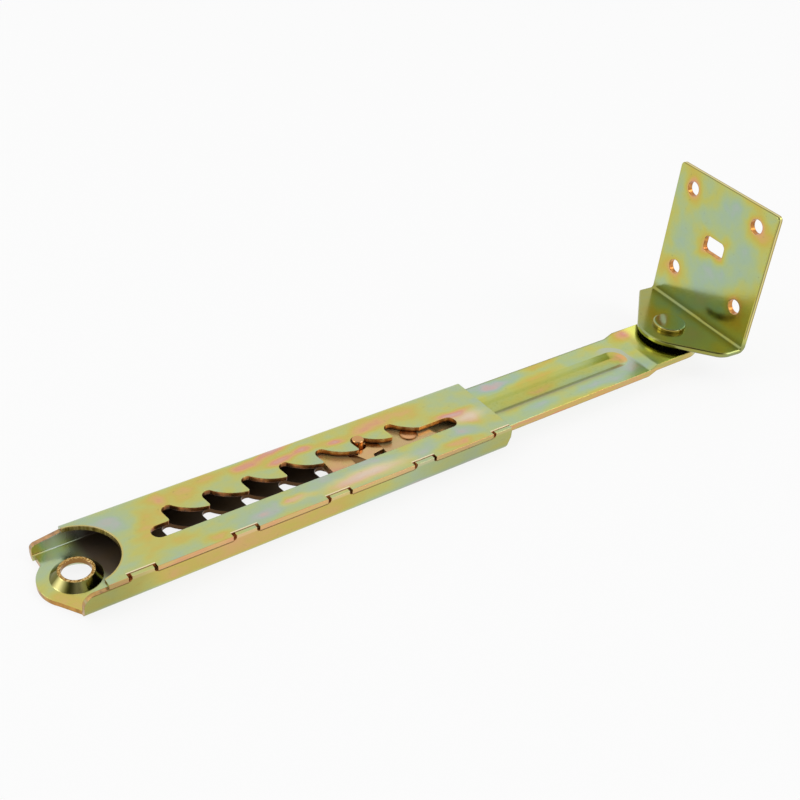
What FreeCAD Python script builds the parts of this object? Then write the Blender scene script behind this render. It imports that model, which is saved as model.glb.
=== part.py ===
import FreeCAD
import Part
import math
import os
from FreeCAD import Vector

# Sofa headrest ratchet hinge, millimetres. X runs along the casing, Y to the folded back wall,
# Z up out of the toothed plate. The origin lies on the pivot axis, on the lower rim of its bore.

# Casing: one folded sheet, floor, back wall, toothed top plate and front wall
casing_sheet = 1.5
casing_width = 29.6
casing_height = 8.5
casing_bend = 2.0
casing_end = 142.8
seam_gap = 0.12

# Pivot end of the casing
bore_radius = 4.15
boss_rise = 2.3
boss_top_radius = 5.1
boss_base_radius = 7.2
boss_skirt = 1.4
cutout_radius = 12.25
tongue_radius = 10.75
back_wall_start = -7.3
back_wall_step = 1.4
back_wall_high = 6.3
back_wall_low = 5.1
back_wall_round = 1.8
front_wall_start = -4.3
front_wall_round = 3.6
end_slant = 1.5
front_plate_start = 3.0

# Seam tabs of the front wall
tab_first = 9.6
tab_pitch = 31.6
tab_length = 6.4
tab_fillet = 1.1
tab_count = 5

# Ratchet slot, the same in top plate and floor
pitch = 12.97
notch_count = 7
first_tooth = 28.06
lane_front = -4.96
lane_back = 0.3
lane_left = 21.3
lane_right = 128.8
pocket_wall = -0.15
pocket_y = 4.35
flank_sag = 1.1
last_flank_sag = 0.6
last_flank_run = 10.3

# Ratchet pin and the notch it lies in
pin_radius = 1.9
pin_proud = 0.8
pin_recess = 0.15
pin_notch = 6
pocket_play = 0.3
pin_seat = 0.12
pin_park = 6.4
pin_fit = 0.02

# Arm: flat bar with a pressed bead and a raised end
arm_sheet = 2.5
arm_width = 23.7
arm_under_plate = 0.45
arm_tail = 13.8
arm_rise = 1.5
joggle_run = 3.5
joggle_round = 1.6
joggle_to_rivet = 19.1
rivet_to_pin = 137.95
rivet_aside = 1.8
pad_beyond_rivet = 9.25
bead_half = 4.7
bead_depth = 1.1
bead_slope = 2.6
bead_from_pin = 25.0
bead_to_rivet = 24.1

# Pin slide in the window of the arm
window_left = 5.45
window_right = 6.3
slide_fit = 0.15
slide_lift = 0.2
window_back = 7.5
slide_heel = -1.9
slide_side = 4.4
slide_waist = 3.9
slide_waist_y = 1.5
slide_neck_left = 1.6
slide_neck_right = 1.4
pin_relief_radius = 2.8
pin_relief_depth = 0.7
slide_toe = 7.75

# Spring post in the arm and the pin spring round it
post_x = 17.4
post_y = 1.0
post_radius = 1.6
post_head_radius = 2.85
post_head_height = 0.3
spring_wire = 0.7
spring_coil = 2.2
spring_turns = 2
spring_lift = 0.1
spring_leg = 7.0

# Bracket, turned about the rivet
bracket_sheet = 2.0
bracket_angle = -5.2
bracket_plane = 13.67
bracket_width = 49.2
bracket_shift = 0.62
bracket_top = 64.0
bracket_bend = 1.0
nose_radius = 12.9
nose_ahead = 1.07
nose_aside = -1.08
flange_side = 7.47
flange_corner = 2.6
flange_skew = 2.0
bracket_edge = 0.45
bracket_corner = 1.6
screw_spacing = 32.0
screw_radius = 2.7
screw_middle = 40.65
middle_length = 9.8
middle_height = 6.2
middle_corner = 2.0

# Pivot rivet of the bracket and its spacer
rivet_radius = 3.0
rivet_fit = 0.05
head_radius = 6.05
head_height = 1.5
head_round = 0.55
tail_radius = 4.6
tail_height = 1.5
spacer_radius = 6.4
spacer_height = 1.25
play = 0.05

# Heights, from the underside of the casing up
base = -boss_rise
half = casing_width / 2
plate_under = base + casing_height - casing_sheet
plate_top = base + casing_height
floor_top = base + casing_sheet
arm_top = plate_under - arm_under_plate
arm_under = arm_top - arm_sheet
pad_top = arm_top + arm_rise
pad_under = arm_under + arm_rise
flange_under = pad_top + play + spacer_height + play
flange_top = flange_under + bracket_sheet

# Places along the casing
pocket_radius = pin_radius + pocket_play
pocket_x = pocket_wall + pocket_radius
pin_x = first_tooth + (pin_notch - 1) * pitch + pocket_x + pin_seat
pin_y = pocket_y - pin_seat
rivet_x = pin_x + rivet_to_pin
arm_left = pin_x - arm_tail
window_front = pin_y - pin_park - slide_toe


def edge_loop(points):
    """Wire of straight lines and arcs; an arc is given by its middle point and its end."""
    edges = []
    here = Vector(*points[0])
    for item in points[1:]:
        if len(item) == 2:
            middle, there = Vector(*item[0]), Vector(*item[1])
            edges.append(Part.Arc(here, middle, there).toShape())
        else:
            there = Vector(*item)
            edges.append(Part.LineSegment(here, there).toShape())
        here = there
    return Part.Wire(edges)


def prism(points, direction):
    return Part.Face(edge_loop(points)).extrude(Vector(*direction))


def block(x0, x1, y0, y1, z0, z1):
    return Part.makeBox(x1 - x0, y1 - y0, z1 - z0, Vector(x0, y0, z0))


def post(radius, z0, z1, x=0.0, y=0.0):
    return Part.makeCylinder(radius, z1 - z0, Vector(x, y, z0))


def clean(shape):
    """One solid with merged faces."""
    shape = shape.removeSplitter()
    solids = shape.Solids
    return solids[0] if len(solids) == 1 else shape


def edges_where(shape, test):
    return [e for e in shape.Edges if test(e)]


def try_fillet(shape, radius, test):
    edges = edges_where(shape, test)
    return shape.makeFillet(radius, edges) if edges else shape


def tangent(px, py, cx, cy, r, side):
    """Point where the line from (px, py) touches the circle, on the side given by +1 or -1."""
    dx, dy = px - cx, py - cy
    away = math.hypot(dx, dy)
    turn = math.atan2(dy, dx) + side * math.acos(r / away)
    return (cx + r * math.cos(turn), cy + r * math.sin(turn))


def slot_points(z):
    """Outline of the toothed slot: straight front, seven hooked pockets at the back."""
    tip = [(-0.55, lane_back + 0.06), (0.04, lane_back + 0.24), (0.2, lane_back + 0.8)]
    wall = (pocket_x - pocket_radius, pocket_y - 0.1)
    lift = math.radians(132)
    crown = (pocket_x + pocket_radius * math.cos(lift), pocket_y + pocket_radius * math.sin(lift))
    fall = math.radians(58)
    brow = (pocket_x + pocket_radius * math.cos(fall), pocket_y + pocket_radius * math.sin(fall))
    half_lane = (lane_back - lane_front) / 2
    middle = (lane_back + lane_front) / 2
    left = lane_left + half_lane
    right = lane_right - half_lane
    pts = [(left, lane_front, z), ((lane_left, middle, z), (left, lane_back, z))]
    for i in range(notch_count):
        x = first_tooth + i * pitch
        pts.append((x + tip[0][0], tip[0][1], z))
        pts.append(((x + tip[1][0], tip[1][1], z), (x + tip[2][0], tip[2][1], z)))
        pts.append((x + wall[0], wall[1], z))
        pts.append(((x + crown[0], crown[1], z), (x + brow[0], brow[1], z)))
        last = i == notch_count - 1
        end = (x + last_flank_run, lane_back) if last else (x + pitch + tip[0][0], tip[0][1])
        ax, ay = x + brow[0], brow[1]
        dx, dy = end[0] - ax, end[1] - ay
        run = math.hypot(dx, dy)
        sag = last_flank_sag if last else flank_sag
        mid = ((ax + end[0]) / 2 + sag * dy / run, (ay + end[1]) / 2 - sag * dx / run)
        pts.append(((mid[0], mid[1], z), (end[0], end[1], z)))
    # the first point of each tip repeats the end of the flank before it
    kept = [pts[0]]
    for item in pts[1:]:
        before = kept[-1][1] if len(kept[-1]) == 2 else kept[-1]
        if len(item) == 3 and (Vector(*item) - Vector(*before)).Length < 1e-6:
            continue
        kept.append(item)
    kept.append((right, lane_back, z))
    kept.append(((lane_right, middle, z), (right, lane_front, z)))
    kept.append((left, lane_front, z))
    return kept


def casing_section(x):
    """Closed section of the folded sheet across the casing, open only at the seam."""
    s, r = casing_sheet, casing_bend
    i = r - s
    q = math.sqrt(0.5)
    top, bot = plate_top, base
    wall_top = plate_under - seam_gap

    def p(y, z):
        return (x, y, z)

    return [
        p(-half, top), p(half - r, top),
        (p(half - r + r * q, top - r + r * q), p(half, top - r)),
        p(half, bot + r),
        (p(half - r + r * q, bot + r - r * q), p(half - r, bot)),
        p(-half + r, bot),
        (p(-half + r - r * q, bot + r - r * q), p(-half, bot + r)),
        p(-half, wall_top), p(-half + s, wall_top), p(-half + s, bot + r),
        (p(-half + r - i * q, bot + r - i * q), p(-half + r, bot + s)),
        p(half - r, bot + s),
        (p(half - r + i * q, bot + r - i * q), p(half - s, bot + r)),
        p(half - s, top - r),
        (p(half - r + i * q, top - r + i * q), p(half - r, top - s)),
        p(-half, top - s), p(-half, top),
    ]


def boss():
    """Conical boss drawn up from the floor, with the bore in its flat top."""
    rim = boss_base_radius + boss_skirt
    s = casing_sheet
    inner = boss_base_radius - s * 0.75
    pts = [
        (rim, 0, base), (rim, 0, floor_top), (boss_base_radius, 0, floor_top),
        (boss_top_radius, 0, floor_top + boss_rise), (bore_radius, 0, floor_top + boss_rise),
        (bore_radius, 0, base + boss_rise), (bore_radius + 0.45, 0, base + boss_rise),
        (inner, 0, base), (rim, 0, base),
    ]
    ring = Part.Face(edge_loop(pts)).revolve(Vector(0, 0, 0), Vector(0, 0, 1), 360)
    return ring, post(rim, base - 1, floor_top + 1)


def seam_tab(x):
    """One tab of the front wall, standing in a notch of the plate edge."""
    z0 = plate_under - seam_gap - 0.4
    z1 = plate_under - seam_gap
    f = tab_fillet
    q = f * (1 - math.sqrt(0.5))
    y = -half
    pts = [
        (x - f, y, z0), (x - f, y, z1),
        ((x - q, y, z1 + q), (x, y, z1 + f)),
        (x, y, plate_top), (x + tab_length, y, plate_top), (x + tab_length, y, z1 + f),
        ((x + tab_length + q, y, z1 + q), (x + tab_length + f, y, z1)),
        (x + tab_length + f, y, z0), (x - f, y, z0),
    ]
    return prism(pts, (0, casing_sheet, 0))


def casing():
    start = -tongue_radius - 0.5
    body = prism(casing_section(start), (casing_end - start, 0, 0))

    # plate edge is notched for the tabs, and the tabs stand in the notches
    for i in range(tab_count):
        x = tab_first + i * tab_pitch
        f = tab_fillet
        notch = block(x - f, x + tab_length + f, -half - 1, -half + casing_sheet + seam_gap,
                      plate_under - seam_gap / 2, plate_top + 1)
        body = body.cut(notch)
        tab = seam_tab(x)
        over = block(casing_end, casing_end + tab_pitch, -half - 1, half, base, plate_top + 1)
        body = body.fuse(tab.cut(over))

    # toothed slot through plate and floor
    body = body.cut(prism(slot_points(base - 1), (0, 0, casing_height + 2)))

    # boss with the pivot bore
    ring, seat = boss()
    body = body.cut(seat).fuse(ring)

    # round opening of the plate above the boss
    opening = post(cutout_radius, plate_under - 0.3, plate_top + 1)
    opening = opening.fuse(block(start - 1, back_wall_step, 0, half - casing_bend,
                                 plate_under - 0.3, plate_top + 1))
    opening = opening.fuse(block(start - 1, front_plate_start, -half - 1, 0,
                                 plate_under - seam_gap / 2, plate_top + 1))
    body = body.cut(opening)

    # free end of the back wall, stepped down from the plate and rounded
    y0, y1 = half - casing_bend, half + 1
    r = back_wall_round
    q = r * (1 - math.sqrt(0.5))
    step = base + back_wall_high
    low = base + back_wall_low
    end = back_wall_start
    pts = [
        (start - 1, y0, base - 1), (start - 1, y0, plate_top + 1), (back_wall_step, y0, plate_top + 1),
        (back_wall_step, y0, step), (end + r + 1.5, y0, low + 0.25), (end + r, y0, low),
        ((end + q, y0, low - q), (end, y0, low - r)), (end, y0, base - 1), (start - 1, y0, base - 1),
    ]
    body = body.cut(prism(pts, (0, y1 - y0, 0)))

    # free end of the front wall, rounded at the top
    y0, y1 = -half - 1, -half + casing_bend
    r = front_wall_round
    q = r * (1 - math.sqrt(0.5))
    top = plate_under - seam_gap
    end = front_wall_start
    pts = [
        (start - 1, y0, base - 1), (start - 1, y0, top + 1), (end + r, y0, top + 1), (end + r, y0, top),
        ((end + q, y0, top - q), (end, y0, top - r)), (end, y0, base - 1), (start - 1, y0, base - 1),
    ]
    body = body.cut(prism(pts, (0, y1 - y0, 0)))

    # slanted lower corner of the front wall at the arm's end
    y0, y1 = -half - 1, -half + casing_bend
    pts = [
        (casing_end - end_slant, y0, base - 1), (casing_end - end_slant, y0, base + 0.6),
        (casing_end, y0, base + 0.55 * casing_height), (casing_end + 1, y0, base + 0.55 * casing_height),
        (casing_end + 1, y0, base - 1), (casing_end - end_slant, y0, base - 1),
    ]
    body = body.cut(prism(pts, (0, y1 - y0, 0)))

    # rounded tongue of the floor round the boss, with a bend relief at the back wall
    y0, y1 = -half + casing_bend, half - casing_bend
    turn = math.radians(138)
    back = (tongue_radius * math.cos(turn), tongue_radius * math.sin(turn))
    turn = math.radians(221)
    front = (tongue_radius * math.cos(turn), tongue_radius * math.sin(turn))
    z = base - 1
    far = start - 1
    relief = back_wall_start + 0.7
    pts = [
        (far, y0, z), (front_wall_start, y0, z), (front[0], front[1], z),
        ((-tongue_radius, 0, z), (back[0], back[1], z)),
        (relief, back[1] + 1.6, z), (relief, y1, z), (far, y1, z), (far, y0, z),
    ]
    body = body.cut(prism(pts, (0, 0, casing_sheet + 1.0 + casing_bend)))
    return clean(body)


def stadium(x0, x1, r, z):
    """Long rounded outline along X."""
    return edge_loop([
        (x0, -r, z), (x1, -r, z), ((x1 + r, 0, z), (x1, r, z)),
        (x0, r, z), ((x0 - r, 0, z), (x0, -r, z)),
    ])


def arm():
    j1 = rivet_x - joggle_to_rivet
    j0 = j1 - joggle_run
    y = -arm_width / 2
    end = rivet_x + pad_beyond_rivet
    side = [
        (arm_left, y, arm_under), (j0, y, arm_under), (j1, y, pad_under), (end, y, pad_under),
        (end, y, pad_top), (j1, y, pad_top), (j0, y, arm_top), (arm_left, y, arm_top),
        (arm_left, y, arm_under),
    ]
    bar = prism(side, (0, arm_width, 0))

    # the bends of the raised end are rounded
    def bend(edge):
        c = edge.CenterOfMass
        along = abs(edge.Length - arm_width) < 1e-3
        return along and (abs(c.x - j0) < 1e-3 or abs(c.x - j1) < 1e-3)

    bar = try_fillet(bar, joggle_round, bend)

    # round end past the rivet
    w = arm_width / 2
    c = end - w
    z = arm_under - bead_depth - arm_sheet
    high = pad_top + arm_sheet
    plan = edge_loop([
        (arm_left + 1, -w, z), (c, -w, z), ((end, 0, z), (c, w, z)),
        (arm_left + 1, w, z), ((arm_left + 0.29, w - 0.29, z), (arm_left, w - 1, z)),
        (arm_left, -w + 1, z), ((arm_left + 0.29, -w + 0.29, z), (arm_left + 1, -w, z)),
    ])
    bar = bar.common(Part.Face(plan).extrude(Vector(0, 0, high - z)))

    # pressed bead: groove above, rib below
    x0 = pin_x + bead_from_pin + bead_half
    x1 = rivet_x - bead_to_rivet - bead_half
    under = bead_half + 0.5
    rib = Part.makeLoft([stadium(x0, x1, under, arm_under + 0.2),
                         stadium(x0, x1, under - bead_slope, arm_under - bead_depth)], True)
    groove = Part.makeLoft([stadium(x0, x1, bead_half + 0.3, arm_top + 0.3 * bead_depth / bead_slope),
                            stadium(x0, x1, bead_half - bead_slope, arm_top - bead_depth)], True)
    bar = bar.fuse(rib).cut(groove)

    # window of the pin slide, hole of the spring post and hole of the rivet
    bar = bar.cut(block(pin_x - window_left, pin_x + window_right, window_front, window_back, z, high))
    bar = bar.cut(post(post_radius + pin_fit, z, high, pin_x + post_x, post_y))
    bar = bar.cut(post(rivet_radius + rivet_fit, z, high, rivet_x, rivet_aside))
    return clean(bar)


def pin_slide():
    """Sliding block in the window of the arm; it carries the ratchet pin."""
    x0 = pin_x - window_left + slide_fit
    x1 = pin_x + window_right - slide_fit
    yb = window_back - slide_fit
    z = floor_top + slide_lift
    nose = window_front + pin_park + slide_fit
    pts = [
        (x0, yb, z), (x1, yb, z), (x1, slide_heel + 0.6, z), (pin_x + pin_radius, slide_heel, z),
        (pin_x + slide_neck_right, nose, z), (pin_x - slide_neck_left, nose, z),
        (pin_x - slide_waist, slide_waist_y, z), (x0, slide_side, z), (x0, yb, z),
    ]
    height = plate_under - slide_lift - z
    body = prism(pts, (0, 0, height))
    body = body.cut(post(pin_radius + pin_fit, z - 1, z + height + 1, pin_x, pin_y))
    flare = Part.makeCone(pin_radius + pin_fit, pin_relief_radius, pin_relief_depth,
                          Vector(pin_x, pin_y, z + height - pin_relief_depth))
    return clean(body.cut(flare))


def ratchet_pin():
    body = post(pin_radius, base + pin_recess, plate_top + pin_proud, pin_x, pin_y)
    return body.makeChamfer(0.25, [e for e in body.Edges if e.Closed])


def spring_post():
    """Flat-headed stud set in the arm; its shank carries the coil of the spring."""
    cx, cy = pin_x + post_x, post_y
    shank = post(post_radius, floor_top + spring_lift, arm_top + play, cx, cy)
    head = post(post_head_radius, arm_top + play, arm_top + play + post_head_height, cx, cy)
    return clean(shank.fuse(head))


def pin_spring():
    """Torsion spring under the arm: coil round its post, one leg behind the slide, one leg on the bead."""
    cx, cy = pin_x + post_x, post_y
    w = spring_wire / 2
    z0 = floor_top + w + spring_lift
    rise = spring_wire + spring_lift / 2
    low = Vector(pin_x + 2.5, slide_heel - spring_lift - w - 0.4, z0)
    path = [low]
    steps = 12 * spring_turns
    for k in range(steps + 1):
        turn = math.radians(-90 + 30.0 * k)
        path.append(Vector(cx + spring_coil * math.cos(turn), cy + spring_coil * math.sin(turn),
                           z0 + rise * k / 12))
    path.append(Vector(pin_x + bead_from_pin + spring_leg, -bead_half - 1.3, path[-1].z))
    ahead = (path[1] - low).normalize()
    beside = ahead.cross(Vector(0, 0, 1)).normalize()
    ring = []
    for k in range(7):
        turn = math.radians(60 * k)
        ring.append(low + beside * (w * math.cos(turn)) + Vector(0, 0, w * math.sin(turn)))
    return Part.makePolygon(path).makePipeShell([Part.makePolygon(ring)], True, False, 1)


def bracket():
    """Screw plate and rivet flange, one folded sheet, built square and then turned."""
    s, i = bracket_sheet, bracket_bend
    o = s + i
    q = math.sqrt(0.5)
    y0 = bracket_shift - bracket_width / 2
    y1 = bracket_shift + bracket_width / 2
    top = base + bracket_top
    inner = bracket_plane
    cx, cz = inner - i, flange_top + i
    near = nose_ahead - nose_radius - 2
    section = [
        (near, y0, flange_under), (cx, y0, flange_under),
        ((cx + o * q, y0, cz - o * q), (inner + s, y0, cz)),
        (inner + s, y0, top), (inner, y0, top), (inner, y0, cz),
        ((cx + i * q, y0, cz - i * q), (cx, y0, flange_top)),
        (near, y0, flange_top), (near, y0, flange_under),
    ]
    body = prism(section, (0, y1 - y0, 0))

    # flange tapers to a broad round nose over the rivet
    z = flange_under - 1
    left = tangent(flange_side, y1, nose_ahead, nose_aside, nose_radius, 1)
    right = tangent(flange_side - flange_skew, y0, nose_ahead, nose_aside, nose_radius, -1)
    slope = Vector(right[0] - flange_side + flange_skew, right[1] - y0, 0).normalize()
    r = flange_corner
    outline = [
        (left[0], left[1], z), (flange_side, y1, z), (inner + o, y1, z), (inner + o, y0, z),
        (flange_side - flange_skew + r, y0, z),
        ((flange_side - flange_skew + 0.15 * r + 0.1 * r * slope.x, y0 + 0.22 * r, z),
         (flange_side - flange_skew + slope.x * r, y0 + slope.y * r, z)),
        (right[0], right[1], z), ((nose_ahead - nose_radius, nose_aside, z), (left[0], left[1], z)),
    ]
    body = body.common(prism(outline, (0, 0, top - z + 1)))

    # upper corners of the screw plate
    def corner_edge(edge):
        m = edge.CenterOfMass
        return abs(m.z - top) < 1e-3 and abs(edge.Length - s) < 1e-3

    body = try_fillet(body, bracket_corner, corner_edge)

    # soft rim all round, inside and outside of the sheet
    def rim(edge):
        b = edge.BoundBox
        across = b.XLength < 1e-6 and b.ZLength < 1e-6
        bend_line = across and b.ZMin < cz + 1e-3
        through = abs(edge.Length - s) < 1e-3
        return not bend_line and not through

    body = body.makeChamfer(bracket_edge, edges_where(body, rim))

    # screw holes, middle hole and rivet hole
    mid_y, mid_z = bracket_shift, base + screw_middle
    for sy in (-1, 1):
        for sz in (-1, 1):
            at = Vector(inner - 2, mid_y + sy * screw_spacing / 2, mid_z + sz * screw_spacing / 2)
            body = body.cut(Part.makeCylinder(screw_radius, s + 4, at, Vector(1, 0, 0)))
    a, b, r = middle_length / 2, middle_height / 2, middle_corner
    c = r * (1 - q)
    x = inner - 2
    hole = edge_loop([
        (x, mid_y - a + r, mid_z - b), (x, mid_y + a - r, mid_z - b),
        ((x, mid_y + a - c, mid_z - b + c), (x, mid_y + a, mid_z - b + r)),
        (x, mid_y + a, mid_z + b - r),
        ((x, mid_y + a - c, mid_z + b - c), (x, mid_y + a - r, mid_z + b)),
        (x, mid_y - a + r, mid_z + b),
        ((x, mid_y - a + c, mid_z + b - c), (x, mid_y - a, mid_z + b - r)),
        (x, mid_y - a, mid_z - b + r),
        ((x, mid_y - a + c, mid_z - b + c), (x, mid_y - a + r, mid_z - b)),
    ])
    body = body.cut(Part.Face(hole).extrude(Vector(s + 4, 0, 0)))
    body = body.cut(post(rivet_radius + rivet_fit, flange_under - 1, flange_top + 1))
    body = clean(body)
    body.rotate(Vector(0, 0, 0), Vector(0, 0, 1), bracket_angle)
    body.translate(Vector(rivet_x, rivet_aside, 0))
    return body


def pivot_rivet():
    """Flat-headed rivet, set over on the underside of the arm."""
    z0 = pad_under - play - tail_height
    z1 = pad_under - play
    z2 = flange_top + play
    z3 = z2 + head_height
    r = head_round
    t = tail_radius
    pts = [
        (0, 0, z0), (t - 0.6, 0, z0), (t, 0, z0 + 0.6), (t, 0, z1),
        (rivet_radius, 0, z1), (rivet_radius, 0, z2), (head_radius, 0, z2), (head_radius, 0, z3 - r),
        (head_radius - 0.13 * r, 0, z3 - 0.5 * r), (head_radius - 0.5 * r, 0, z3 - 0.13 * r),
        (head_radius - r, 0, z3), (0, 0, z3), (0, 0, z0),
    ]
    body = Part.Face(edge_loop(pts)).revolve(Vector(0, 0, 0), Vector(0, 0, 1), 360)
    body.translate(Vector(rivet_x, rivet_aside, 0))
    return body


def spacer_washer():
    z0 = pad_top + play
    ring = post(spacer_radius, z0, z0 + spacer_height, rivet_x, rivet_aside)
    return ring.cut(post(rivet_radius + rivet_fit, z0 - 1, z0 + spacer_height + 1, rivet_x, rivet_aside))


os.makedirs("parts", exist_ok=True)
casing().exportStep("parts/casing.step")
arm().exportStep("parts/arm.step")
pin_slide().exportStep("parts/pin_slide.step")
ratchet_pin().exportStep("parts/ratchet_pin.step")
spring_post().exportStep("parts/spring_post.step")
pin_spring().exportStep("parts/pin_spring.step")
bracket().exportStep("parts/bracket.step")
pivot_rivet().exportStep("parts/pivot_rivet.step")
spacer_washer().exportStep("parts/spacer_washer.step")
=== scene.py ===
import math
import bpy
from mathutils import Matrix, Vector


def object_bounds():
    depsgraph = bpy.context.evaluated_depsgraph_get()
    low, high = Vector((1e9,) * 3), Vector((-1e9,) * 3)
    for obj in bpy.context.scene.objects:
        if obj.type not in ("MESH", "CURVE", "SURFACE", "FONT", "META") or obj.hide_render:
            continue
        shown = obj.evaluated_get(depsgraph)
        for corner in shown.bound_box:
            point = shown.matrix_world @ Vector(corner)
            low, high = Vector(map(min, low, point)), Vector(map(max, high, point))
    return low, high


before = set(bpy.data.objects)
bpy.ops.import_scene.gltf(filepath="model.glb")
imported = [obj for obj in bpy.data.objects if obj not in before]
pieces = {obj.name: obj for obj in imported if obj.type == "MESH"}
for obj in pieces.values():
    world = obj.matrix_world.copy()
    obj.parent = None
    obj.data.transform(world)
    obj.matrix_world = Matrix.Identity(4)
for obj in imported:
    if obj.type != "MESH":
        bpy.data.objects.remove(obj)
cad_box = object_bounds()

bpy.ops.object.select_all(action="DESELECT")


# Casing: 1.5 mm steel sheet, blanked, folded into a flat tube and hooked shut along the front seam.
# It is zinc plated and yellow passivated in a barrel, so the film has pooled into soft patches of
# green, gold, pink and blue, and the cut edges have turned copper.

class Wire:
    """A varying value on its way through a tree's nodes, with Python arithmetic."""

    def __init__(self, tree, socket):
        self.tree = tree
        self.socket = socket

    def maths(self, operation, *values):
        return self.tree.node("ShaderNodeMath", {"operation": operation}, dict(enumerate(values)))

    def __add__(self, other):
        return self.maths("ADD", self, other)

    def __radd__(self, other):
        return self.maths("ADD", other, self)

    def __sub__(self, other):
        return self.maths("SUBTRACT", self, other)

    def __rsub__(self, other):
        return self.maths("SUBTRACT", other, self)

    def __mul__(self, other):
        return self.maths("MULTIPLY", self, other)

    def __rmul__(self, other):
        return self.maths("MULTIPLY", other, self)

    def __truediv__(self, other):
        return self.maths("DIVIDE", self, other)

    def __neg__(self):
        return self.maths("MULTIPLY", self, -1.0)

    def __abs__(self):
        return self.maths("ABSOLUTE", self)

    def low(self, other):
        return self.maths("MINIMUM", self, other)

    def high(self, other):
        return self.maths("MAXIMUM", self, other)

    def root(self):
        return self.maths("SQRT", self)

    def exp(self):
        return self.maths("EXPONENT", self)

    def wrap(self, turn):
        return self.maths("FLOORED_MODULO", self, turn)

    def angle(self, across):
        """Angle of the point that lies this far along and that far across."""
        return self.maths("ARCTAN2", across, self)

    def step(self, start, end):
        """0 before start, 1 after end, smooth between them."""
        settings = {"interpolation_type": "SMOOTHSTEP"}
        inputs = {"Value": self, "From Min": start, "From Max": end}
        return self.tree.node("ShaderNodeMapRange", settings, inputs)

    def fade(self, start, end):
        """1 before start, 0 after end."""
        return 1.0 - self.step(start, end)


class Tree:
    """The node tree of a material or of the world, and the one way to add a node to it."""

    def __init__(self, owner):
        owner.use_nodes = True
        self.nodes = owner.node_tree.nodes
        self.links = owner.node_tree.links
        self.nodes.clear()

    def node(self, kind, settings, inputs, output=0):
        """Adds a node, sets it up, joins its inputs, and returns one of its outputs."""
        made = self.nodes.new(kind)
        for name, value in settings.items():
            if name == "stops":
                stops = made.color_ramp.elements
                while len(stops) > 1:
                    stops.remove(stops[0])
                stops[0].position, stops[0].color = value[0]
                for at, colour in value[1:]:
                    stops.new(at).color = colour
            else:
                setattr(made, name, value)
        for name, value in inputs.items():
            if isinstance(value, Wire):
                self.links.new(value.socket, made.inputs[name])
            else:
                made.inputs[name].default_value = value
        return Wire(self, made.outputs[output]) if made.outputs else None

    def parts(self, vector):
        split = self.node("ShaderNodeSeparateXYZ", {}, {0: vector}).socket.node
        return [Wire(self, output) for output in split.outputs]


class Finish(Tree):
    """One plated finish: the place on the piece in millimetres, its facing, and the colour so far."""

    def __init__(self, name):
        self.material = bpy.data.materials.new(name)
        super().__init__(self.material)
        metres = self.node("ShaderNodeTexCoord", {}, {}, "Object")
        in_mm = {"Vector": metres, "Scale": 1000.0}
        self.mm = self.node("ShaderNodeVectorMath", {"operation": "SCALE"}, in_mm)
        self.x, self.y, self.z = self.parts(self.mm)
        facing = self.node("ShaderNodeTexCoord", {}, {}, "Normal")
        self.nx, self.ny, self.nz = self.parts(facing)
        self.colour = None

    def noise(self, vector, scale, detail=2.0, rough=0.5):
        inputs = {"Vector": vector, "Scale": scale, "Detail": detail, "Roughness": rough}
        return self.node("ShaderNodeTexNoise", {}, inputs)

    def stretch(self, sx, sy, sz, move=(0.0, 0.0, 0.0)):
        """The piece's millimetres, moved and drawn out, for a pattern."""
        inputs = {"Vector": self.mm, "Location": move, "Scale": (sx, sy, sz)}
        return self.node("ShaderNodeMapping", {}, inputs)

    def ramp(self, value, stops):
        return self.node("ShaderNodeValToRGB", {"stops": stops}, {"Fac": value})

    def mix(self, amount, first, second):
        # a colour Mix has several sockets of each name, so they are taken by number
        inputs = {0: amount, 6: first, 7: second}
        return self.node("ShaderNodeMix", {"data_type": "RGBA"}, inputs, 2)

    def tint(self, amount, tone):
        """Lays a tone over the colour so far."""
        self.colour = self.mix(amount, self.colour, tone)

    def dress(self, name):
        pieces[name].data.materials.clear()
        pieces[name].data.materials.append(self.material)


def srgb(r, g, b):
    """Linear colour, with alpha, of a screen colour from 0 to 255."""
    def one(v):
        v /= 255.0
        return v / 12.92 if v <= 0.04045 else ((v + 0.055) / 1.055) ** 2.4
    return (one(r), one(g), one(b), 1.0)


# order of the film's colours as it thickens, one full turn from lilac grey back to it
film_colours = [
    (0.00, srgb(192, 176, 170)),
    (0.08, srgb(172, 182, 174)),
    (0.16, srgb(164, 186, 158)),
    (0.27, srgb(174, 190, 136)),
    (0.38, srgb(190, 190, 104)),
    (0.49, srgb(200, 180, 86)),
    (0.60, srgb(214, 170, 108)),
    (0.72, srgb(216, 150, 122)),
    (0.86, srgb(210, 160, 156)),
    (1.00, srgb(192, 176, 170)),
]
edge_colours = [
    (0.00, srgb(70, 34, 14)),
    (0.40, srgb(160, 92, 38)),
    (0.75, srgb(222, 156, 78)),
    (1.00, srgb(246, 208, 140)),
]
bronze = srgb(150, 104, 56)


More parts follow.
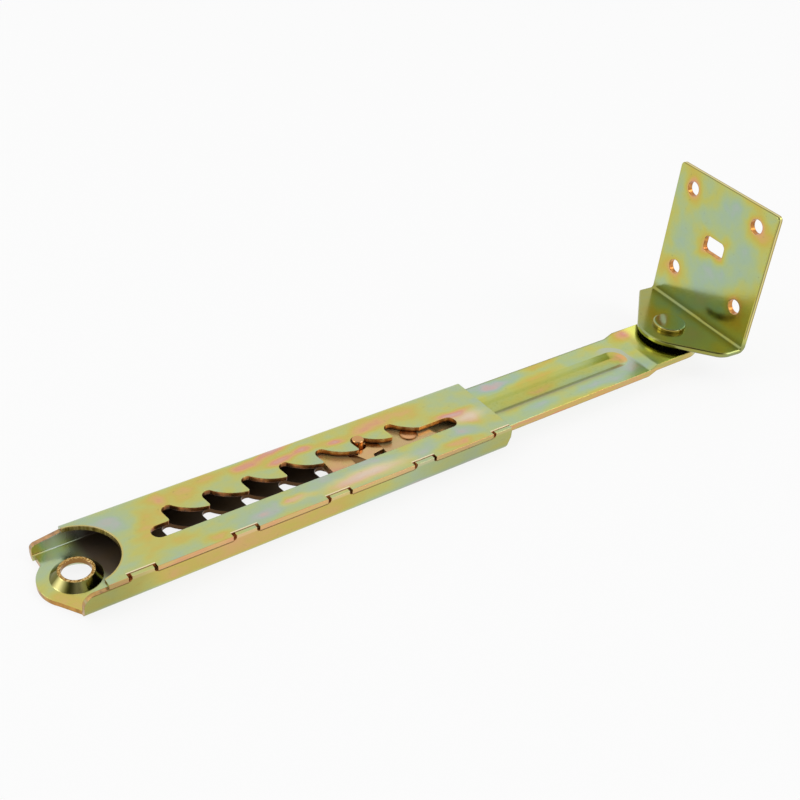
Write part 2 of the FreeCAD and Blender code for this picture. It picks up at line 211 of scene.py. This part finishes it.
def drift(f, seed, along=0.03, across=0.07, reach=6.0):
    """Film as the barrel left it. It also pushes the place on the piece, as wx and wy, so that no pool
    has a drawn outline."""
    push = f.noise(f.stretch(2.5 * along, across, across, (seed, 4.0, 1.0)), 1.0, 3.0)
    pull = f.noise(f.stretch(2.5 * along, across, across, (seed, 9.0, 6.0)), 1.0, 3.0)
    f.wx = f.x + reach * 2.0 * (push - 0.5)
    f.wy = f.y + reach * (pull - 0.5)
    wide = f.noise(f.stretch(along, across, across, (seed, 7.0, 0.0)), 1.0, 1.0)
    patch = f.noise(f.stretch(0.1, 0.15, 0.15, (5.0, seed, 2.0)), 1.0, 2.0)
    fleck = f.noise(f.stretch(0.3, 0.45, 0.45, (1.0, seed, 5.0)), 1.0, 2.0)
    return 0.6 * (wide - 0.5) + 0.5 * (patch - 0.5) + 0.14 * (fleck - 0.5)


def pools(f, places):
    """Thicker and thinner pools of the film: place along and across, reach both ways, and how much."""
    total = 0.0
    for x, y, along, across, much in places:
        u = (f.wx - x) / along
        v = (f.wy - y) / across
        total = total + (-(u * u + v * v)).exp() * much
    return total


def film_on(f, film):
    return f.ramp(film.wrap(1.0), film_colours)


def between(value, low, high, soft):
    return value.step(low - soft, low) * value.fade(high, high + soft)


def bell(value, middle, spread):
    """1 at the middle, falling off both ways."""
    off = value - middle
    return (-(off * off / spread)).exp()


def distance(u, v):
    return (u * u + v * v).root()


def worn(f, amount):
    """Small handling marks: dull grey flecks and hair scratches in the film."""
    spots = f.noise(f.mm, 0.9, 4.0, 0.6).step(0.66, 0.74)
    hairs = f.noise(f.stretch(0.25, 3.0, 3.0), 1.0, 3.0, 0.6).step(0.68, 0.76)
    dull_grey = srgb(120, 116, 92)
    f.tint(amount * spots.high(hairs), dull_grey)


def plate(f, seed, satin=0.13, edge=0.25, metal=1.0):
    """Satin of the plating, its fine skin and the rubbed round of every edge, in millimetres."""
    cloud = f.noise(f.stretch(1.0, 1.0, 1.0, (seed, 0.0, 0.0)), 0.12, 3.0)
    grain = f.noise(f.mm, 0.8, 4.0, 0.6)
    round_edge = f.node("ShaderNodeBevel", {"samples": 6}, {"Radius": 0.001 * edge})
    skin = f.node("ShaderNodeBump", {}, {
        "Strength": 0.1, "Distance": 0.0001, "Height": grain, "Normal": round_edge,
    })
    shader = f.node("ShaderNodeBsdfPrincipled", {}, {
        "Base Color": f.colour, "Metallic": metal, "Roughness": satin + 0.1 * cloud, "Normal": skin,
    })
    f.node("ShaderNodeOutputMaterial", {}, {"Surface": shader})


f = Finish("yellow_zinc_casing")
sheet = 1.5
under_z, bed_z = -2.3, -0.8
roof_z, top_z = 4.7, 6.2
wall_in, wall_out = 13.3, 14.8
opening_radius = 12.25
steep = abs(f.nz).fade(0.4, 0.8)
top_face = f.nz.step(0.5, 0.9) * f.z.step(top_z - 0.6, top_z - 0.2)
front_face = (-f.ny).step(0.4, 0.8) * f.y.fade(0.6 - wall_out, 1.0 - wall_out)
radius = distance(f.x, f.y)

# film of the toothed plate, of the front wall, of the free end and of the rest
common_film = 0.27
stray = drift(f, 2.0)
top_pools = pools(f, [
    (15.0, 8.0, 6.0, 4.0, -0.12), (22.5, 3.0, 4.0, 4.5, 0.2), (29.5, 9.5, 2.5, 4.5, 0.2),
    (38.0, 9.5, 7.0, 4.0, 0.2), (51.0, 10.5, 4.0, 3.0, -0.16), (58.0, 11.5, 9.0, 2.0, 0.52),
    (69.0, 8.0, 6.0, 1.8, 0.5), (78.0, 8.8, 4.0, 1.6, 0.5), (88.0, 6.9, 4.0, 1.6, 0.5),
    (70.0, 13.5, 7.0, 1.6, 0.6), (100.0, 9.0, 8.0, 3.0, 0.26), (116.0, 9.0, 12.0, 4.0, 0.16),
    (131.0, 1.0, 6.0, 1.5, 0.5), (134.0, -3.0, 4.0, 3.0, 0.4), (128.0, -8.4, 6.0, 2.5, -0.24),
    (28.0, -8.0, 6.0, 2.6, 0.22), (37.0, -12.0, 5.0, 1.6, 0.34), (50.0, -11.0, 6.0, 2.5, -0.2),
    (62.0, -9.6, 3.5, 1.6, 0.5), (67.0, -10.0, 3.0, 1.6, 0.2), (86.0, -11.0, 12.0, 2.0, 0.62),
    (112.0, -9.0, 6.0, 4.0, -0.14), (123.0, -12.5, 8.0, 1.6, 0.24), (95.0, -6.5, 8.0, 1.4, -0.1),
])
front_film = 0.42 + 0.12 * f.wx.step(10.0, 30.0) - 0.3 * f.wx.step(68.0, 100.0)
front_film = front_film + 0.18 * f.wx.step(126.0, 138.0)
low_edge = f.z.fade(under_z + 0.5, under_z + 2.9)
film = common_film + stray + top_face * top_pools
film = film + front_face * (front_film - common_film - 0.4 * stray - 0.2 * low_edge)
inner_wall = between(f.z, bed_z - 0.1, roof_z - 0.1, 0.1) * (-f.ny).step(0.3, 0.8)
inner_wall = inner_wall * f.y.step(wall_in - 1.3, wall_in - 0.3)
film = film + inner_wall * (0.3 - 0.48 * f.wx.step(-8.0, -2.0))
tongue = f.z.fade(bed_z + 0.05, bed_z + 0.1) * f.wx.fade(-6.0, 4.0)
film = film + tongue * (0.2 - 0.18 * f.wy.step(0.0, 7.0))
f.colour = film_on(f, film)
thin_pools = pools(f, [
    (134.5, -2.4, 6.0, 2.2, 0.8), (90.0, -10.6, 13.0, 2.4, 0.8), (64.0, -10.0, 5.0, 1.5, 0.3),
])
pale_film = srgb(226, 212, 190)
straw = srgb(188, 178, 138)
f.tint(top_face * thin_pools.low(0.8), pale_film)
f.tint(0.14, straw)
worn(f, 0.3)

# cut edges of the teeth and of the round opening, and the rubbed lip of the opening
along_edge = f.noise(f.stretch(0.5, 0.5, 0.2), 1.0, 2.0)
height = (f.z - roof_z) / sheet
near_pin = f.x.step(66.0, 92.0) * height * (1.0 - height)
# painted light and shade: the teeth's copper darker low in the slot, lighter at the top and brighter
# near the pin
edge_copper_light_shade = 0.12 + 0.62 * height * height + 1.7 * near_pin + 1.5 * (along_edge - 0.5)
tooth_edge = steep * f.z.step(roof_z - 0.1, roof_z + 0.05)
tooth_edge = tooth_edge * abs(f.y).fade(wall_in - 0.3, wall_in + 0.3)
f.tint(0.95 * tooth_edge, f.ramp(edge_copper_light_shade, edge_colours))
shear_lines = f.ramp(f.noise(f.stretch(1.2, 1.2, 0.1), 1.0, 2.0), [
    (0.3, srgb(96, 84, 34)), (0.5, srgb(176, 160, 84)), (0.7, srgb(226, 212, 146)),
])
opening_edge = tooth_edge * f.x.fade(13.5, 14.5)
f.tint(0.8 * opening_edge, shear_lines)
lip = top_face * radius.fade(opening_radius + 0.1, opening_radius + 0.75)
lip_gold = srgb(206, 172, 84)
f.tint(0.6 * lip, lip_gold)

# seam: the plate's cut edge over the wall, the tabs that stand in its notches and their open corners
notch_start, notch_pitch, notch_length, notch_corner = 8.5, 31.6, 8.6, 1.25
seam_tone = f.ramp(f.noise(f.stretch(0.09, 0.0, 0.5), 1.0, 2.0), [
    (0.3, srgb(208, 190, 112)), (0.5, srgb(220, 178, 122)), (0.7, srgb(224, 158, 122)),
])
tab_cream = srgb(236, 212, 172)
seam_gap_shade = srgb(112, 66, 30)
seam_copper = srgb(206, 138, 82)
tab_gap_shade = srgb(126, 76, 40)
gap_gleam = srgb(244, 226, 190)
tab_at = (f.x - notch_start).wrap(notch_pitch)
in_tab = tab_at.fade(notch_length - 0.1, notch_length)
no_tab = 1.0 - in_tab
outer = f.y.fade(0.05 - wall_out, 0.2 - wall_out)
f.tint(0.85 * outer * f.z.step(roof_z - 0.1, roof_z) * no_tab, seam_tone)
f.tint(0.35 * outer * f.z.step(roof_z + 0.1, roof_z + 0.7) * in_tab, tab_cream)
# painted shade: a dark brown line in the gap under the plate's cut edge
wall_line = outer * between(f.z, roof_z - 0.32, roof_z - 0.04, 0.12) * no_tab
f.tint(0.65 * wall_line, seam_gap_shade)
plate_line = top_face * no_tab * f.y.fade(0.1 - wall_out, 0.4 - wall_out)
f.tint(0.5 * plate_line, seam_copper)
# in the tabs, painted shade in the gap before the tab and a painted highlight beside it
f.tint(0.8 * top_face * in_tab * between(f.y, -0.2 - wall_in, 0.15 - wall_in, 0.1), tab_gap_shade)
f.tint(0.8 * top_face * in_tab * between(f.y, 0.2 - wall_in, 0.5 - wall_in, 0.1), gap_gleam)
corner = in_tab * (1.0 - between(tab_at, notch_corner, notch_length - notch_corner, 0.1))
notch = corner * f.y.fade(0.25 - wall_in, 0.35 - wall_in) * f.z.step(roof_z - 0.5, roof_z - 0.2)
notch = notch * (1.0 - front_face) * (1.0 - top_face)
f.tint(notch, f.ramp(f.noise(f.mm, 1.1, 2.0), [
    (0.35, srgb(118, 58, 24)), (0.55, srgb(196, 122, 62)), (0.7, srgb(236, 178, 110)),
]))

# free ends of the walls, the duller ends of the front wall, and painted shade along the bends
free_end = steep * f.x.fade(-2.0, 0.0) * (-f.nx).step(0.1, 0.4)
wall_top = (1.0 - steep) * abs(f.y).step(wall_in - 0.1, wall_in)
wall_top = wall_top * between(f.z, 0.0, roof_z - 0.06, 0.05) * f.x.fade(8.5, 9.0)
f.tint(0.7 * free_end.high(wall_top), f.ramp(along_edge, edge_colours))
dull_olive = srgb(118, 112, 56)
bend_shade_olive = srgb(104, 98, 56)
dull = front_face * (0.44 * f.wx.fade(4.0, 20.0) + 0.26 * f.wx.step(92.0, 125.0))
f.tint(dull, dull_olive)
# painted shade: the lower bend and the back bend darkened olive
low_bend = f.y.fade(0.6 - wall_out, 1.4 - wall_out) * f.z.fade(under_z + 0.4, bed_z)
back_bend = f.y.step(wall_out - 0.9, wall_out - 0.3) * between(f.z, 5.0, 5.9, 0.3)
f.tint(0.6 * low_bend.high(back_bend), bend_shade_olive)

# boss: drawn cone painted dark olive with two painted highlights, a rough copper rim and the bore
boss_radius, rim_radius, bore_radius = 7.2, 5.1, 4.15
cone_shade_olive = srgb(104, 100, 36)
cone_gleam = srgb(255, 244, 160)
rough_rim = f.ramp(f.noise(f.mm, 2.2, 3.0), [
    (0.3, srgb(92, 58, 22)), (0.5, srgb(176, 132, 66)), (0.68, srgb(240, 214, 152)),
])
# painted reflection: the cone darkened olive all round, with two painted highlights at fixed angles
round_boss = f.x.angle(f.y)
gleam = bell(round_boss, -2.84, 0.05) + bell(round_boss, -1.95, 0.03)
cone = radius.fade(boss_radius + 0.05, boss_radius + 0.15) * f.z.step(bed_z - 0.05, bed_z + 0.05)
rim = radius.fade(rim_radius - 0.15, rim_radius + 0.1) * f.z.step(1.1, 1.3)
bore = radius.fade(bore_radius + 0.05, bore_radius + 0.15) * steep
f.tint(0.92 * cone, f.mix(gleam.low(1.0), cone_shade_olive, cone_gleam))
f.tint(0.95 * rim, rough_rim)
f.tint(0.8 * bore, bronze)

# inside of the tube: painted shade where the light hardly reaches, and a painted highlight on the
# inner wall
wall_gleam = srgb(232, 246, 234)
inside_shade_brown = srgb(70, 44, 40)
slot_shade_brown = srgb(78, 50, 32)
# painted highlight: a pale band on the inner back wall
lit_band = inner_wall * bell(f.x, -0.5, 9.0)
f.tint(0.8 * lit_band, wall_gleam)
inside = between(f.z, bed_z - 0.1, roof_z + 0.02, 0.05) * (1.0 - cone) * (1.0 - notch)
inside = inside * abs(f.y).fade(wall_in + 0.06, wall_in + 0.2)
inside = inside * (f.x + 0.5 * f.y.low(0.0) - 3.0 * inner_wall).step(0.0, 7.0)
# painted shade: the inside darkened brown, and the slot's lower edges darker still
lower_edge = steep * f.z.fade(bed_z - 0.1, bed_z) * abs(f.y).fade(wall_in - 0.8, wall_in - 0.3)
f.tint(0.92 * inside, inside_shade_brown)
f.tint(0.97 * lower_edge * f.x.step(12.0, 14.0), slot_shade_brown)
satin = 0.13 - 0.07 * cone + 0.3 * inside + 0.15 * notch + 0.3 * lit_band
plate(f, 2.0, satin, 0.28, 1.0 - 0.6 * inside - 0.3 * tooth_edge - 0.6 * notch)
f.dress("casing")


# Arm: 2.5 mm flat steel bar that slides in the casing, pressed with a stiffening bead and set up at
# the end for the bracket. Plated with the casing; the part under the teeth has gone pink and beige.
f = Finish("yellow_zinc_arm")
arm_half = 11.85
bead_half, bead_end_x = 4.7, 204.2
film = 0.32 + 0.8 * drift(f, 5.0)
# the pool at 209, -5.5 turns the film grey blue as painted light beside the bead's end
film = film + pools(f, [
    (152.0, 8.5, 6.0, 3.0, -0.36), (160.0, 8.5, 7.0, 2.5, -0.24), (174.0, 5.5, 10.0, 2.5, 0.24),
    (190.0, 1.0, 16.0, 2.0, 0.14), (216.5, 9.5, 4.0, 3.2, 0.5), (188.0, -8.5, 12.0, 2.2, -0.26),
    (164.0, -7.5, 8.0, 2.0, -0.2), (206.0, 1.0, 4.0, 3.0, 0.3), (209.0, -5.5, 3.5, 4.0, -0.16),
    (222.0, 0.0, 6.0, 8.0, 0.1), (178.0, 10.5, 9.0, 1.6, 0.2), (168.0, 0.0, 5.0, 2.0, 0.24),
])
film = film + 0.34 * f.wx.fade(126.0, 140.0)
f.colour = film_on(f, film)
worn(f, 0.4)

# bead: painted shade and highlights on its slopes and end, and the speckled floor
bank_shade_grey = srgb(122, 128, 120)
slope_highlight_yellow = srgb(178, 184, 96)
end_highlight_pink = srgb(226, 166, 122)
floor_green = srgb(142, 154, 62)
swell_sheen_grey = srgb(178, 186, 176)
in_bead = abs(f.y).fade(bead_half + 0.2, bead_half + 0.4)
in_bead = in_bead * f.x.step(121.0, 122.0) * f.x.fade(209.0, 209.5)
far_slope = in_bead * (-f.ny).step(0.1, 0.3) * f.z.step(2.0, 2.6)
end_slope = in_bead * (-f.nx).step(0.1, 0.3) * f.x.step(180.0, 190.0)
bank = bell(f.y, -3.7, 2.2) * f.x.step(138.0, 150.0) * f.x.fade(201.0, 206.0)
bead_floor = in_bead * f.z.fade(3.4, 3.9) * f.z.step(2.6, 2.8)
specks = f.noise(f.mm, 1.4, 4.0, 0.7).step(0.5, 0.7)
flat_top = f.nz.step(0.9, 0.97)
bead_end = distance(f.x - bead_end_x, f.y) - bead_half
swell = between(bead_end, 0.3, 2.4, 0.8) * f.x.step(198.0, 206.0) * flat_top
# painted shade on the front bank, painted highlights on the far slope and end, painted sheen round the
# end
f.tint(0.75 * bank * f.nz.step(0.2, 0.4), bank_shade_grey)
f.tint(0.35 * far_slope, slope_highlight_yellow)
f.tint(0.6 * end_slope * abs(f.y + 0.6).fade(1.2, 3.4), end_highlight_pink)
f.tint(0.3 * bead_floor + 0.3 * bead_floor * specks, floor_green)
f.tint(0.7 * swell, swell_sheen_grey)

# rest of the bar: painted shade by the raised end and the back edge, cut edges, the lightened raised
# end, covered part
shade_green = srgb(112, 120, 84)
back_edge_shade_olive = srgb(132, 126, 72)
raised_lit_yellow = srgb(246, 248, 118)
beige = srgb(190, 168, 122)
edge_film = f.ramp(f.noise(f.stretch(0.12, 0.5, 0.7), 1.0, 2.0) - 0.2 * f.x.step(198.0, 218.0), [
    (0.25, srgb(182, 172, 92)), (0.4, srgb(204, 174, 98)),
    (0.55, srgb(214, 164, 104)), (0.7, srgb(220, 150, 112)),
])
f.tint(pools(f, [(213.0, -7.0, 2.6, 4.0, 0.6)]) * flat_top, shade_green)
# painted shade: a thin olive line along the back edge
f.tint(0.5 * f.y.step(arm_half - 0.85, arm_half + 0.05) * f.z.step(3.9, 4.2), back_edge_shade_olive)
f.tint(0.85 * abs(f.ny).step(0.6, 0.9) * abs(f.y).step(arm_half - 0.25, arm_half - 0.05), edge_film)
# painted light: the raised end lightened to yellow against the shade of the bracket
raised = f.x.step(217.0, 222.0) * f.nz.step(0.8, 0.95)
f.tint(0.8 * raised, raised_lit_yellow)
covered = f.x.fade(128.0, 140.0)
f.tint(covered * (0.3 + 0.4 * f.wx.step(84.0, 98.0)) * f.nz.step(0.5, 0.9), beige)
plate(f, 5.0, 0.13 + 0.1 * covered - 0.05 * raised, 0.6, 1.0 - 0.4 * covered)
f.dress("arm")


# Pin slide and ratchet pin: a steel block that runs across the arm in its window, and the turned pin
# pressed into it, which lies in the pockets of both toothed slots. Both have a beige, coppery film.
f = Finish("slide_zinc")
slide_beige = srgb(192, 170, 122)
slide_brown = srgb(112, 76, 42)
f.colour = film_on(f, 0.64 + 0.7 * drift(f, 8.0))
f.tint(0.5, slide_beige)
f.tint(0.8 * f.nz.fade(0.3, 0.7), slide_brown)
plate(f, 8.0, 0.14)
f.dress("pin_slide")

f = Finish("pin_zinc")
f.colour = film_on(f, 0.6 + 0.3 * drift(f, 11.0))
f.tint(0.3, bronze)
turned = f.ramp(f.noise(f.stretch(0.1, 0.1, 4.0), 1.0, 2.0), edge_colours)
f.tint(0.8 * f.nz.fade(0.3, 0.8), turned)
plate(f, 11.0, 0.16)
f.dress("ratchet_pin")


# Spring post and pin spring: a flat-headed stud set in the arm, and the hard-drawn wire torsion
# spring that turns round its shank and presses the slide towards the teeth.
f = Finish("post_zinc")
post_x, post_y = 112.48, 1.0
f.colour = film_on(f, 0.66 + 0.4 * drift(f, 14.0))
f.tint(0.8 * distance(f.x - post_x, f.y - post_y).step(2.3, 2.75), bronze)
plate(f, 14.0, 0.18)
f.dress("spring_post")

f = Finish("spring_wire")
streak = f.noise(f.stretch(0.4, 2.0, 2.0), 1.0, 3.0)
f.colour = f.ramp(streak, [(0.3, srgb(70, 62, 54)), (0.7, srgb(124, 108, 88))])
plate(f, 3.0, 0.28)
f.dress("pin_spring")


# Bracket: 2 mm steel blank, pierced and folded once. The film is thin and blue green in the middle of
# the plate and thickens to gold and orange round the holes and along the edges, where it drained.
f = Finish("yellow_zinc_bracket")
turn = math.radians(-5.2)
rivet_x, rivet_y = 233.03, 1.8
plate_from_rivet, plate_aside = 13.67, 0.62
holes_z, hole_half, hole_radius = 38.35, 16.0, 2.7
slot_half_wide, slot_half_high = 4.9, 3.1
half_wide, bracket_top = 24.6, 61.7
flange_shade_olive = srgb(84, 84, 26)
flange_underside_shade = srgb(52, 44, 26)


def fall(gap, reach):
    """1 at an edge, dying away from it."""
    return (-(gap.high(0.0) / reach)).exp()


# place on the plate: across it, up from the middle of its holes, and into its thickness
along_x, along_y = f.x - rivet_x, f.y - rivet_y
across = along_y * math.cos(turn) - along_x * math.sin(turn) - plate_aside
depth = along_x * math.cos(turn) + along_y * math.sin(turn) - plate_from_rivet
through = abs(f.nx * math.cos(turn) + f.ny * math.sin(turn))
rise = f.z - holes_z
on_plate = f.z.step(13.0, 14.0)
on_flange = f.z.fade(9.6, 13.0)
slot_gap = (abs(across) - slot_half_wide).high(abs(rise) - slot_half_high)
hole_gap = distance(abs(across) - hole_half, abs(rise) - hole_half) - hole_radius
hole_gap = hole_gap.low(slot_gap + 0.6)
edge_gap = (half_wide - abs(across)).low(bracket_top - f.z)

stray = drift(f, 17.0, 0.06, 0.06)
blotch = f.noise(f.stretch(0.09, 0.09, 0.09, (3.0, 1.0, 8.0)), 1.0, 2.0)
halo = fall(hole_gap, 0.8 + 3.6 * blotch)
border = fall(edge_gap, 1.0 + 8.0 * blotch)
plate_film = 0.18 + 0.38 * halo + 0.22 * border + 0.45 * stray + 0.3 * (blotch - 0.5)
flange_film = 0.36 + 0.6 * stray
f.colour = film_on(f, plate_film + on_flange * (flange_film - plate_film))
worn(f, 0.55)
# painted reflection: the flange darkened olive, and its underside painted dark as shade
f.tint(0.45 * on_flange, flange_shade_olive)
f.tint(0.85 * on_flange * (-f.nz).step(0.5, 0.8), flange_underside_shade)
pierced = through.fade(0.4, 0.7) * hole_gap.fade(0.6, 0.8) * on_plate
f.tint(0.85 * pierced, f.ramp(f.noise(f.mm, 0.7, 2.0), edge_colours))
# painted highlights and dark lines across the rounded edges of the plate
edge_light_bands = f.ramp(0.5 * depth + 0.2 * (blotch - 0.5), [
    (0.00, srgb(150, 138, 70)), (0.14, srgb(104, 92, 48)), (0.28, srgb(236, 224, 164)),
    (0.52, srgb(204, 184, 104)), (0.64, srgb(116, 88, 52)), (0.78, srgb(226, 200, 148)),
    (1.00, srgb(170, 132, 88)),
])
f.tint(0.8 * edge_gap.fade(0.1, 0.5) * on_plate, edge_light_bands)
plate(f, 17.0, 0.13, 0.4)
f.dress("bracket")


# Pivot rivet and spacer washer: flat-headed steel rivet set over under the arm, and the ring that
# holds the bracket's flange clear of the raised end. Plated before they were set.
f = Finish("rivet_zinc")
rivet_shade_green = srgb(84, 100, 62)
rivet_side_glint_gold = srgb(190, 160, 62)
f.colour = film_on(f, 0.24 + 0.4 * drift(f, 20.0))
# painted reflection: the head darkened green and its sides painted gold as glint
f.tint(0.5, rivet_shade_green)
f.tint(0.75 * abs(f.nz).fade(0.4, 0.9), rivet_side_glint_gold)
plate(f, 20.0, 0.07, 0.3)
f.dress("pivot_rivet")

f = Finish("washer_zinc")
washer_shade_brown = srgb(52, 40, 32)
f.colour = film_on(f, 0.4 + 0.4 * drift(f, 23.0))
# painted shade: the washer darkened nearly black brown, for the shade under the flange
f.tint(0.7, washer_shade_brown)
plate(f, 23.0, 0.28)
f.dress("spacer_washer")


# Stage: a pale floor under the casing that looks nearly white to the camera and in the metal, a white
# surround that is dim above the camera, where a studio is open, and two soft lamps either side of it.
white = (1.0, 1.0, 1.0, 1.0)
pale_grey = (0.85, 0.85, 0.85, 1.0)
floor_whiteness = 0.85
bpy.ops.mesh.primitive_plane_add(size=6.0, location=(0.1, 0.0, cad_box[0][2]))
floor = bpy.context.object
floor.name = "floor"
floor_white = bpy.data.materials.new("floor_white")
tree = Tree(floor_white)
lit = tree.node("ShaderNodeBsdfDiffuse", {}, {"Color": pale_grey})
bright = tree.node("ShaderNodeEmission", {}, {"Color": white, "Strength": 1.0})
half_white = tree.node("ShaderNodeMixShader", {}, {0: floor_whiteness, 1: lit, 2: bright})
camera_ray = tree.node("ShaderNodeLightPath", {}, {}, "Is Camera Ray")
glossy_ray = tree.node("ShaderNodeLightPath", {}, {}, "Is Glossy Ray")
through_ray = tree.node("ShaderNodeLightPath", {}, {}, "Is Transmission Ray")
seen = camera_ray.high(glossy_ray).high(through_ray)
surface = tree.node("ShaderNodeMixShader", {}, {0: seen, 1: lit, 2: half_white})
tree.node("ShaderNodeOutputMaterial", {}, {"Surface": surface})
floor.data.materials.append(floor_white)

open_side = Vector((-0.35, -0.42, 0.80)).normalized()
open_dimming = 0.88
world = bpy.data.worlds.new("white_surround")
bpy.context.scene.world = world
tree = Tree(world)
sky = tree.node("ShaderNodeTexCoord", {}, {}, "Generated")
dot = {"operation": "DOT_PRODUCT"}
toward = tree.node("ShaderNodeVectorMath", dot, {0: sky, 1: open_side}, "Value")
light = 1.0 - open_dimming * toward.step(0.78, 0.93)
surround = tree.node("ShaderNodeBackground", {}, {"Color": white, "Strength": light})
tree.node("ShaderNodeOutputWorld", {}, {"Surface": surround})


def soft_lamp(name, place, aim):
    bpy.ops.object.light_add(type="AREA", location=place)
    lamp = bpy.context.object
    lamp.name = name
    lamp.data.shape = "SQUARE"
    lamp.data.size = 0.4
    lamp.data.energy = 1.2
    lamp.rotation_euler = (Vector(aim) - Vector(place)).to_track_quat("-Z", "Y").to_euler()


soft_lamp("left", (-0.62, 0.36, 0.6), (0.1, 0.0, 0.0))
soft_lamp("right", (0.72, -0.5, 0.62), (0.12, 0.0, 0.0))


# Camera: a 54 mm lens on a 36 mm sensor, at the photograph's place, as fitted to the casing's corners
# and the bracket's holes. Its axes are given as right, up and backwards.
camera_data = bpy.data.cameras.new("photo_camera")
camera_data.sensor_width = 36.0
camera_data.sensor_fit = "HORIZONTAL"
camera_data.lens = 53.68
camera_data.clip_start = 0.01
camera_data.clip_end = 20.0
camera = bpy.data.objects.new("photo_camera", camera_data)
bpy.context.scene.collection.objects.link(camera)
right = Vector((0.80390481, -0.58864856, 0.08502901))
up = Vector((0.28458626, 0.50624549, 0.81407995))
back = Vector((-0.52225254, -0.6302447, 0.57449448))
place = Matrix((right, up, back)).transposed().to_4x4()
place.translation = Vector((-0.0850245, -0.2315968, 0.231449))
camera.matrix_world = place
bpy.context.scene.camera = camera
bpy.context.scene.view_settings.view_transform = "Standard"
